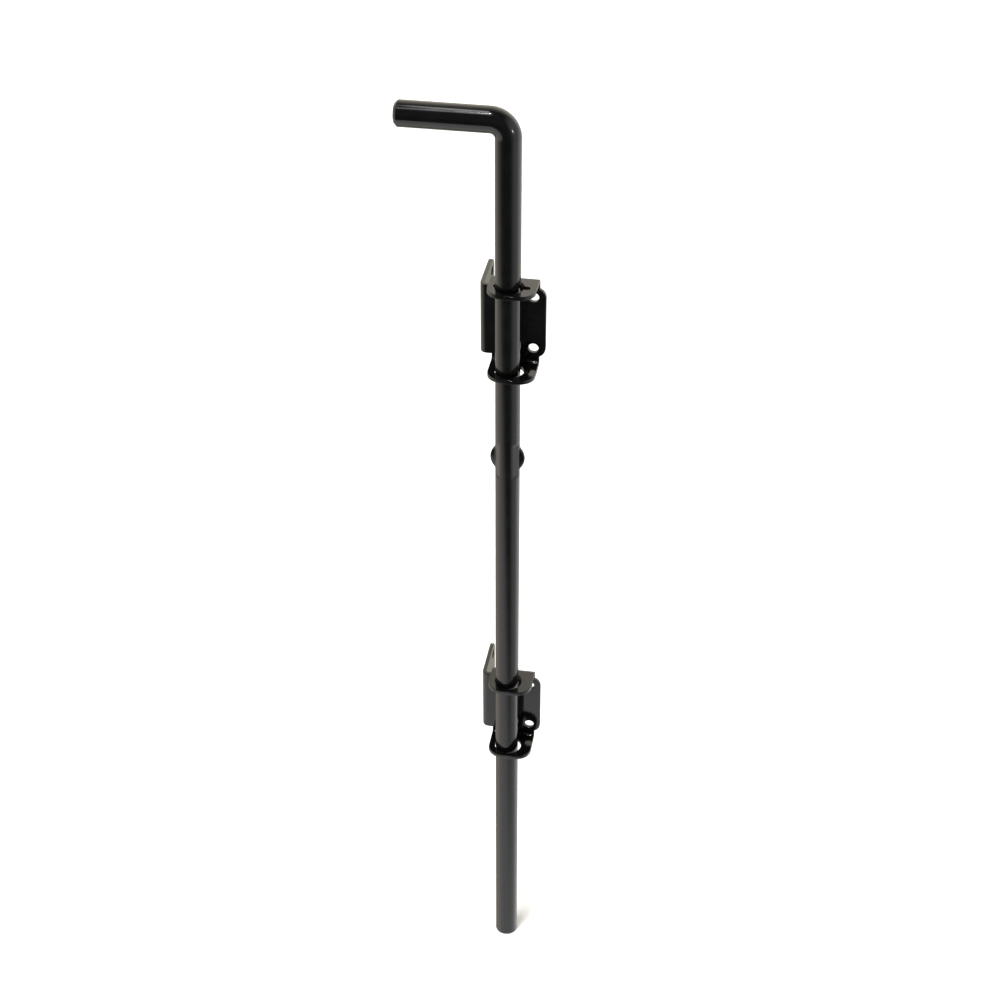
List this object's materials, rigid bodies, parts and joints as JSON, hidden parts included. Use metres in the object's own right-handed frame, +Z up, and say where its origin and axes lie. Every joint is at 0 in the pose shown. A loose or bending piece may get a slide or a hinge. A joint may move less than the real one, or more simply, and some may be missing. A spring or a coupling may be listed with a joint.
{
  "type": "cane bolt",
  "caption": "Gate drop rod: a round bar bent into a handle at its top, which slides and turns in two folded plate brackets and is kept in by squeezed ears.",
  "frame": {"origin": "on the gate face of the upper bracket's front wing, level with the wing's middle and straight behind the bar's axis", "axes": "+Z up along the bar, +Y into the gate, and the handle points to -X"},
  "size_m": [0.0818, 0.0593, 0.6205],
  "materials": {
    "bracket": "gloss black powder coat",
    "rod": "gloss black powder coat"
  },
  "bodies": {
    "brackets": {"upper_bracket": "bracket", "lower_bracket": "bracket"},
    "lift": {"rod_tip": "rod"},
    "rod": {"cane_rod": "rod"}
  },
  "joints": [
    {"name": "bolt_lift", "type": "slide", "parent": "brackets", "child": "lift", "axis": [0, 0, 1], "range_m": [-0.089, 0.046]},
    {"name": "bolt_turn", "type": "hinge", "parent": "lift", "child": "rod", "pos_m": [0, -0.01455, 0], "axis": [0, 0, 1], "range_deg": [0, 180]}
  ]
}
